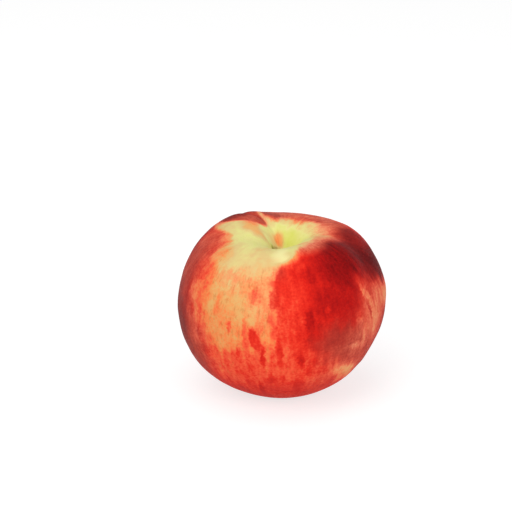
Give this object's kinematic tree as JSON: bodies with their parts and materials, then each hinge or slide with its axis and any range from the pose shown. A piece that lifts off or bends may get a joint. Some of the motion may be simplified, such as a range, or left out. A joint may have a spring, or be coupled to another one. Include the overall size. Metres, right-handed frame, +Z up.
{
  "type": "peach",
  "caption": "Whole ripe peach with a stem cavity, a suture furrow and a small flat spot at its base.",
  "frame": {"origin": "on the surface that the peach stands on, at the middle of its outline seen from above", "axes": "+Z up through the stem cavity, -Y towards the front, where the stem end leans, +X to the right of the front"},
  "size_m": [0.0754, 0.074, 0.0642],
  "materials": {
    "skin": "matte"
  },
  "bodies": {
    "root": {"peach": "skin"}
  },
  "joints": []
}
